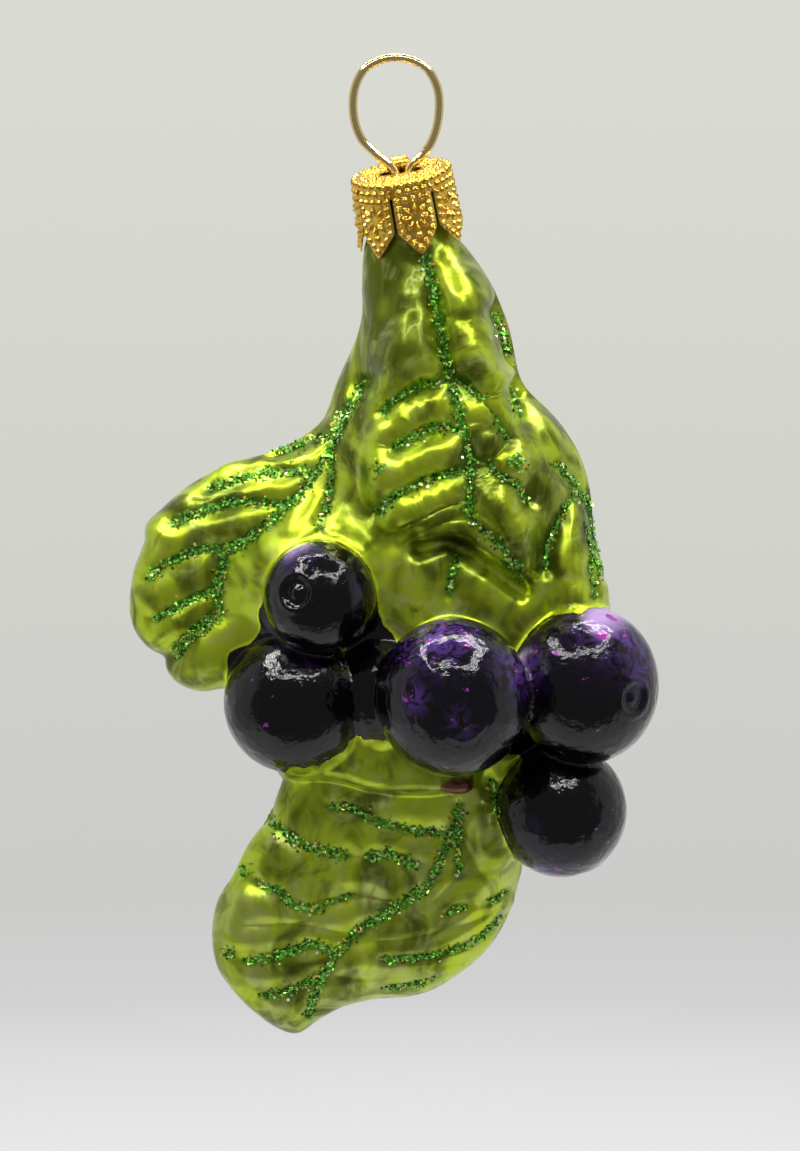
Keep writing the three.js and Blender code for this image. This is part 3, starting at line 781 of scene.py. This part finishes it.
def scatter(name, veins, spots, from_y, seed, crowd):
    rng = np.random.default_rng(seed)
    places = []
    for width, line in veins:
        curve = rounded(line, steps=5)
        lengths = np.linalg.norm(np.diff(curve, axis=0), axis=1)
        run = np.concatenate([[0], np.cumsum(lengths)])
        total = int(run[-1] * width * crowd)
        along = rng.uniform(0, run[-1], total)
        gaps = 0.5 + 0.5 * np.sin(along * 1.7 + seed) * np.sin(along * 0.6 + 2.0)
        along = along[rng.uniform(0, 1, total) < 0.62 + 0.5 * gaps]
        side = rng.normal(0, 0.23, len(along)) * width
        x = np.interp(along, run, curve[:, 0]) + side
        z = np.interp(along, run, curve[:, 1]) + rng.normal(0, 0.23, len(along)) * width
        places.append(np.stack([x, z], 1))
    for spot in spots:
        places.append(rng.normal(0, 0.42, (26, 2)) + spot)
    places = np.vstack(places)
    verts, faces, shades = [], [], []
    for x, z in places:
        hit, normal, _, _ = surface.ray_cast(Vector((x, from_y, z)), Vector((0, -math.copysign(1, from_y), 0)))
        if hit is None:
            hit, normal, _, _ = surface.find_nearest(Vector((x, math.copysign(2.5, from_y), z)))
        if -hit.z < 19.5:
            continue
        lean = Vector(rng.normal(0, 0.42, 3))
        turn = (normal + lean).to_track_quat("Z", "X").to_matrix()
        size = rng.uniform(0.11, 0.21)
        lift = rng.uniform(0.02, 0.26)
        spin = Matrix.Rotation(rng.uniform(0, 1.05), 3, "Z")
        placed = FLAKE_POINTS * size @ np.array(turn @ spin).T + np.array(hit + normal * lift)
        first = len(verts) * len(FLAKE_POINTS)
        verts.append(placed)
        faces += [[first + i for i in face] for face in FLAKE_FACES]
        shades.append(rng.uniform(0, 1))
    mesh = bpy.data.meshes.new(name)
    mesh.from_pydata((np.vstack(verts) * MM).tolist(), [], faces)
    layer = mesh.attributes.new("shade", "FLOAT", "POINT")
    layer.data.foreach_set("value", np.repeat(shades, len(FLAKE_POINTS)).astype(np.float32))
    made = bpy.data.objects.new(name, mesh)
    bpy.context.collection.objects.link(made)
    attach(made, "root")
    print(name, len(shades), "flakes")
    return made


crowd = 19.0
upper = [v for v in FRONT_VEINS if v[1][0][1] > -75]
lower = [v for v in FRONT_VEINS if v[1][0][1] <= -75]
glitter_pieces = [
    scatter("glitter_front_upper", upper, [s for s in SPOTS_OF_GLITTER if s[1] > -75], -60, 3, crowd),
    scatter("glitter_front_lower", lower, [s for s in SPOTS_OF_GLITTER if s[1] <= -75], -60, 5, crowd),
    scatter("glitter_back", BACK_VEINS, [], 60, 7, crowd * 0.8),
]

# %% Glitter material
glitter, tree, shader = new_material("glitter")
shade = attribute(tree, "shade")
colours = node(tree, "ShaderNodeValToRGB", Fac=shade)
stops = colours.color_ramp
stops.interpolation = "CONSTANT"
stops.elements[0].color = (0.03, 0.13, 0.015, 1)
stops.elements[1].position = 0.24
stops.elements[1].color = (0.10, 0.36, 0.03, 1)
for position, colour in (
    (0.50, (0.26, 0.74, 0.08, 1)),
    (0.76, (0.50, 0.90, 0.15, 1)),
    (0.91, (0.92, 1.0, 0.62, 1)),
    (0.96, (0.85, 0.48, 0.06, 1)),
):
    stops.elements.new(position).color = colour
tree.links.new(colours.outputs[0], shader.inputs["Base Color"])
shader.inputs["Metallic"].default_value = 0.6
shader.inputs["Roughness"].default_value = 0.3
for piece in glitter_pieces:
    piece.data.materials.append(glitter)

# %% [markdown]
# ## The cap
# A sheet of thin metal is drawn into a cup with seven petals and stamped all over with small rings. It is
# laid out petal by petal as a fine grid, pushed out where the stamp raised it, and then given its thickness.

# %% Cap shape
PETALS = 7
RIM = 5.3
EDGE_ROLL = 0.5
TOP_REACH = RIM - EDGE_ROLL
PETAL_LENGTH = 8.5
PETAL_SHOULDER = 5.9
SLIT_TOP = 1.9
HALF_PETAL = math.pi / PETALS


def ring_bead(d, radius):
    """A raised ring with a small hollow in its middle."""
    return 0.34 * np.exp(-(((d - radius * 0.5) / (radius * 0.36)) ** 2))


def beads(across, down, places, radius=0.36):
    raised = np.zeros_like(across)
    for a, b in places:
        raised = np.maximum(raised, ring_bead(np.hypot(across - a, down - b), radius))
    return raised


def star(across, down, middle):
    """Eight lozenge-shaped rays round a point."""
    raised = np.zeros_like(across)
    dx, dy = across, down - middle
    for i in range(8):
        a = math.pi / 4 * i
        ahead = dx * math.cos(a) + dy * math.sin(a)
        aside = np.abs(-dx * math.sin(a) + dy * math.cos(a))
        inside = np.clip(1 - np.abs(ahead - 1.1) / 0.85, 0, 1)
        raised = np.maximum(raised, 0.6 * np.clip(inside - aside / 0.3, 0, 1))
    return raised


def petal_stamp(across, down):
    places = []
    for row, shift in ((0.55, 0.0), (1.45, 0.475), (2.35, 0.0)):
        places += [(a + shift, row) for a in np.arange(-1.9, 1.95, 0.95)]
    for down_edge in np.arange(3.2, 6.2, 0.9):
        places += [(-1.8, down_edge), (1.8, down_edge)]
    places += [(-1.3, 6.6), (1.3, 6.6), (-0.65, 7.2), (0.65, 7.2), (0, 7.8), (0, 6.4)]
    return np.maximum(beads(across, down, places), star(across, down, 4.4))


cap = bmesh.new()
grid = 0.105
columns = int(2 * HALF_PETAL * RIM / grid)
skirt_rows = int(PETAL_LENGTH / grid)
top_rows = int(TOP_REACH / grid)
first_turn = math.radians(-15) + HALF_PETAL
for petal in range(PETALS):
    middle = first_turn + petal * 2 * HALF_PETAL
    s = np.linspace(-1, 1, columns + 1)
    rows = []
    for j in range(1, top_rows + 1):
        r = TOP_REACH * j / top_rows
        angle = middle + s * HALF_PETAL
        bead = np.zeros_like(s)
        for ring, spots in ((4.2, (-1.5, -0.5, 0.5, 1.5)), (3.2, (-0.95, 0, 0.95))):
            places = [(a, ring) for a in spots]
            bead = np.maximum(bead, beads(s * HALF_PETAL * ring, np.full_like(s, r), places))
        rows.append((np.full_like(s, r), angle, bead, np.full_like(s, 1.0)))
    for j in range(1, skirt_rows + 1):
        tip = PETAL_SHOULDER + (PETAL_LENGTH - PETAL_SHOULDER) * (1 - np.abs(s) ** 1.15)
        down = tip * j / skirt_rows
        slit = np.clip((down - SLIT_TOP) / 0.25, 0, 1) * 0.16 / RIM
        narrow = 1 - 0.06 * np.clip((down - 4.8) / 2.5, 0, 1) * np.abs(s)
        angle = middle + s * (HALF_PETAL - slit) * narrow
        raised = petal_stamp(s * HALF_PETAL * RIM, down)
        rows.append((down, angle, raised, np.full_like(s, 0.0)))
    made = []
    for first, angle, raised, on_top in rows:
        line = []
        for a, turn, lift, top in zip(first, angle, raised, on_top):
            if top:
                r, y, out, rise = a, 0.0, 0.0, 1.0
            elif a < EDGE_ROLL * 1.57:
                bend = a / EDGE_ROLL
                r, y = TOP_REACH + EDGE_ROLL * math.sin(bend), -EDGE_ROLL * (1 - math.cos(bend))
                out, rise = math.sin(bend), math.cos(bend)
            else:
                below = a - EDGE_ROLL * 0.57
                flare = 0.03 * below + 0.006 * max(0, below - 4.5) ** 2 * 4
                r, y, out, rise = RIM + flare, -below, 1.0, 0.0
            r, y = r + out * lift, y + rise * lift
            spot = CAP_TOP + RIGHT * (r * math.sin(turn)) + FRONT * (r * math.cos(turn)) + UP * y
            line.append(cap.verts.new(spot * MM))
        made.append(line)
    centre = cap.verts.new(CAP_TOP * MM)
    for a, b in zip(made[0][:-1], made[0][1:]):
        cap.faces.new((centre, a, b))
    for upper_row, lower_row in zip(made[:-1], made[1:]):
        for i in range(columns):
            cap.faces.new((upper_row[i], lower_row[i], lower_row[i + 1], upper_row[i + 1]))
bmesh.ops.remove_doubles(cap, verts=cap.verts, dist=0.012 * MM)

# %% Hole in the top of the cap, and the small tongue bent up behind it
hole = []
for face in cap.faces:
    q = np.array(face.calc_center_median()) / MM - CAP_TOP
    x, y, z = q @ RIGHT, q @ FRONT, q @ UP
    if z > -0.3 and abs(y) < 0.95 and abs(x) < 2.5 - 0.6 * abs(y):
        hole.append(face)
bmesh.ops.delete(cap, geom=hole, context="FACES")
fold = []
for e in cap.edges:
    q = np.array((e.verts[0].co + e.verts[1].co) / 2) / MM - CAP_TOP
    if e.is_boundary and q @ UP > -0.3 and q @ FRONT < -0.7 and abs(q @ RIGHT) < 1.3:
        fold.append(e)
for up, back, narrower in ((0.7, 0.25, 0.9), (0.6, 0.45, 0.75)):
    bent = bmesh.ops.extrude_edge_only(cap, edges=fold)
    fold = [g for g in bent["geom"] if isinstance(g, bmesh.types.BMEdge) and g.is_boundary]
    for v in [g for g in bent["geom"] if isinstance(g, bmesh.types.BMVert)]:
        q = np.array(v.co) / MM - CAP_TOP
        q = q + UP * up - FRONT * back - RIGHT * (q @ RIGHT) * (1 - narrower)
        v.co = Vector((CAP_TOP + q) * MM)
    fold = [e for e in fold if all(v in bent["geom"] for v in e.verts)]
bmesh.ops.recalc_face_normals(cap, faces=cap.faces)
cap_mesh = bpy.data.meshes.new("petal_cap")
cap.to_mesh(cap_mesh)
cap.free()
cap_mesh.shade_smooth()
cap_piece = bpy.data.objects.new("petal_cap", cap_mesh)
bpy.context.collection.objects.link(cap_piece)
thick = cap_piece.modifiers.new("thickness", "SOLIDIFY")
thick.thickness = 0.2 * MM
thick.offset = -1
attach(cap_piece, "root")
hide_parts("gold_cap")
print("cap:", len(cap_mesh.polygons), "faces")

# %% Gold
gold, tree, shader = new_material("gold")
place = node(tree, "ShaderNodeTexCoord").outputs["Object"]
worn = clouds(tree, place, 0.6, detail=4.0)
tint = mixed(tree, ramp(tree, worn, 0.35, 0.7), (0.95, 0.55, 0.075, 1), (1.0, 0.70, 0.15, 1))
tree.links.new(tint, shader.inputs["Base Color"])
shader.inputs["Metallic"].default_value = 1.0
shader.inputs["Roughness"].default_value = 0.27
cap_mesh.materials.append(gold)

# %% [markdown]
# ## The wire
# A round section is carried along the middle line of the wire: up one leg, round the loop and down the other.

# %% Wire
WIRE_RADIUS = 0.5
loop = [
    (-0.6, -11.4), (-2.2, -10.0), (-3.8, -8.3), (-4.6, -5.9), (-4.55, -3.2), (-3.6, -1.0), (-1.9, 0.15), (0.0, 0.5),
    (1.9, 0.15), (3.6, -1.0), (4.6, -3.2), (4.65, -5.9), (4.05, -8.3), (3.0, -10.0), (1.7, -11.3),
]
left_leg = [(-1.1, 1.7, -22.6), (-0.5, 1.0, -17.5), (0.0, 0.2, -13.0)]
right_leg = [(1.5, 0.2, -13.0), (2.9, 1.0, -17.5), (5.4, 1.7, -22.6)]
middle_line = rounded(left_leg + [(x, 0.0, z) for x, z in loop] + right_leg, steps=8)
wire = bmesh.new()
ahead = np.gradient(middle_line, axis=0)
rings = []
side = Vector((0, -1, 0))
for spot, way in zip(middle_line, ahead):
    way = Vector(way).normalized()
    side = (side - side.dot(way) * way).normalized()
    across = way.cross(side)
    turn = Matrix((side, across, way)).transposed().to_4x4()
    place = Matrix.Translation(spot * MM) @ turn
    made = bmesh.ops.create_circle(wire, segments=20, radius=WIRE_RADIUS * MM, matrix=place)
    rings.append(made["verts"])
for a, b in zip(rings[:-1], rings[1:]):
    for i in range(20):
        j = (i + 1) % 20
        wire.faces.new((a[i], a[j], b[j], b[i]))
wire.faces.new(rings[0])
wire.faces.new(rings[-1])
bmesh.ops.recalc_face_normals(wire, faces=wire.faces)
wire_mesh = bpy.data.meshes.new("wire_loop")
wire.to_mesh(wire_mesh)
wire.free()
wire_mesh.shade_smooth()
wire_piece = bpy.data.objects.new("wire_loop", wire_mesh)
bpy.context.collection.objects.link(wire_piece)
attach(wire_piece, "root")
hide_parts("hanger_wire")

pale_gold, tree, shader = new_material("pale_gold")
place = node(tree, "ShaderNodeTexCoord").outputs["Object"]
tint = mixed(tree, clouds(tree, place, 0.5), (0.86, 0.64, 0.26, 1), (0.95, 0.78, 0.40, 1))
tree.links.new(tint, shader.inputs["Base Color"])
shader.inputs["Metallic"].default_value = 0.92
shader.inputs["Roughness"].default_value = 0.15
wire_mesh.materials.append(pale_gold)
print("wire:", len(wire_mesh.polygons), "faces")

# %% [markdown]
# ## A soft light box
# Pale walls and floor give the soft light, a ring of strip lights above gives the crisp marks on the fruit,
# and the front of the box is open and dark. What stands behind the ornament is a wide round floor and wall
# that look the same from every side. They only fill the picture and give no light.

# %% Light box
def glow(name, colour, strength):
    material = bpy.data.materials.new(name)
    material.use_nodes = True
    tree = material.node_tree
    tree.nodes.clear()
    light = node(tree, "ShaderNodeEmission", Color=(*colour, 1), Strength=strength)
    out = tree.nodes.new("ShaderNodeOutputMaterial")
    tree.links.new(light.outputs[0], out.inputs[0])
    return material, tree, light


def stage_piece(name, corners, faces, material, lights):
    """A card of the light box if it lights, or else a part of what is seen behind the ornament."""
    mesh = bpy.data.meshes.new(name)
    mesh.from_pydata([[v * MM for v in c] for c in corners], [], faces)
    made = bpy.data.objects.new(name, mesh)
    bpy.context.collection.objects.link(made)
    mesh.materials.append(material)
    made.visible_camera = not lights
    made.visible_diffuse = made.visible_glossy = made.visible_transmission = made.visible_shadow = lights
    return made


def card(name, corners, material):
    return stage_piece(name, corners, [range(len(corners))], material, lights=True)


WALL = 190
FLOOR = -172
BACK = 300
OPEN_FRONT = -75
ROOF = 105
floor_glow, _, _ = glow("floor_glow", (0.72, 0.73, 0.72), 1.0)
wall_glow, _, _ = glow("wall_glow", (0.9, 0.91, 0.9), 0.58)
roof_glow, _, _ = glow("roof_glow", (0.9, 0.91, 0.9), 0.7)
back_glow, _, _ = glow("back_glow", (0.66, 0.67, 0.64), 1.0)
strip_glow, _, _ = glow("strip_glow", (1.0, 1.0, 0.98), 27.0)
BACKDROP_HALF = 400
BACKDROP_TOP = 300
card(
    "floor",
    [(-WALL, OPEN_FRONT, FLOOR), (WALL, OPEN_FRONT, FLOOR), (WALL, BACK, FLOOR), (-WALL, BACK, FLOOR)],
    floor_glow,
)
card(
    "backdrop",
    [
        (-BACKDROP_HALF, BACK, FLOOR),
        (BACKDROP_HALF, BACK, FLOOR),
        (BACKDROP_HALF, BACK, BACKDROP_TOP),
        (-BACKDROP_HALF, BACK, BACKDROP_TOP),
    ],
    back_glow,
)
for side in (-WALL, WALL):
    corners = [(side, OPEN_FRONT, FLOOR), (side, BACK, FLOOR), (side, BACK, ROOF), (side, OPEN_FRONT, ROOF)]
    card("wall_left" if side < 0 else "wall_right", corners, wall_glow)
card("roof", [(-WALL, 34, ROOF), (WALL, 34, ROOF), (WALL, BACK, ROOF), (-WALL, BACK, ROOF)], roof_glow)
inner, outer = 110, 121
near, far = -140, 20
for i, (x0, x1, y0, y1) in enumerate(
    [
        (-outer, outer, near - 6, near + 6),
        (-outer, outer, far - 6, far + 6),
        (-outer, -inner, near, far),
        (inner, outer, near, far),
    ]
):
    card(f"strip_{i}", [(x0, y0, ROOF), (x1, y0, ROOF), (x1, y1, ROOF), (x0, y1, ROOF)], strip_glow)

# %% Floor and wall behind
SWEEP = 2000
SIDES = 96
turns = [2 * math.pi * i / SIDES for i in range(SIDES)]
foot = [(SWEEP * math.cos(a), SWEEP * math.sin(a), FLOOR) for a in turns]
top = [(x, y, 1800) for x, y, _ in foot]
sweep_floor, tree, light = glow("sweep_floor", (0.8, 0.8, 0.8), 1.0)
place = node(tree, "ShaderNodeTexCoord").outputs["Object"]
split = node(tree, "ShaderNodeSeparateXYZ", Vector=place).outputs
flat = maths(tree, "MULTIPLY_ADD", split[0], split[0], maths(tree, "MULTIPLY", split[1], split[1]))
outward = maths(tree, "DIVIDE", maths(tree, "SQRT", flat), SWEEP * MM)
# A painted pool of light: the round floor glows brightest near the middle, darkest about a quarter of the way out,
# and a little lighter again towards the wall.
bands = node(tree, "ShaderNodeValToRGB", Fac=outward)
bands.color_ramp.elements[0].position = 0.12
bands.color_ramp.elements[0].color = (0.81, 0.81, 0.81, 1)
bands.color_ramp.elements[1].position = 0.97
bands.color_ramp.elements[1].color = (0.675, 0.685, 0.62, 1)
for position, colour in (
    (0.150, (0.74, 0.745, 0.74, 1)),
    (0.180, (0.64, 0.645, 0.64, 1)),
    (0.230, (0.60, 0.605, 0.59, 1)),
    (0.500, (0.64, 0.645, 0.597, 1)),
):
    bands.color_ramp.elements.new(position).color = colour
tree.links.new(bands.outputs[0], light.inputs["Color"])
sweep_wall, tree, light = glow("sweep_wall", (0.7, 0.71, 0.65), 1.0)
place = node(tree, "ShaderNodeTexCoord").outputs["Object"]
rise = node(tree, "ShaderNodeSeparateXYZ", Vector=place).outputs[2]
# The wall is a touch darker towards its foot.
shade = mixed(tree, ramp(tree, rise, FLOOR * MM, -60 * MM), (0.675, 0.685, 0.62, 1), (0.70, 0.71, 0.65, 1))
tree.links.new(shade, light.inputs["Color"])
stage_piece("sweep_floor", foot, [range(SIDES)], sweep_floor, lights=False)
around = [(i, (i + 1) % SIDES, SIDES + (i + 1) % SIDES, SIDES + i) for i in range(SIDES)]
stage_piece("sweep_wall", foot + top, around, sweep_wall, lights=False)

# %% Fill light and world
fill_data = bpy.data.lights.new("front_fill", "AREA")
fill_data.energy = 0.9
fill_data.size = 0.5
fill = bpy.data.objects.new("front_fill", fill_data)
bpy.context.collection.objects.link(fill)
fill.location = (0.05, -0.62, 0.12)
fill.rotation_euler = (aim - fill.location).to_track_quat("-Z", "Y").to_euler()
fill.visible_glossy = False

world = bpy.data.worlds.new("world")
bpy.context.scene.world = world
world.use_nodes = True
world.node_tree.nodes["Background"].inputs["Color"].default_value = (0.16, 0.16, 0.16, 1)
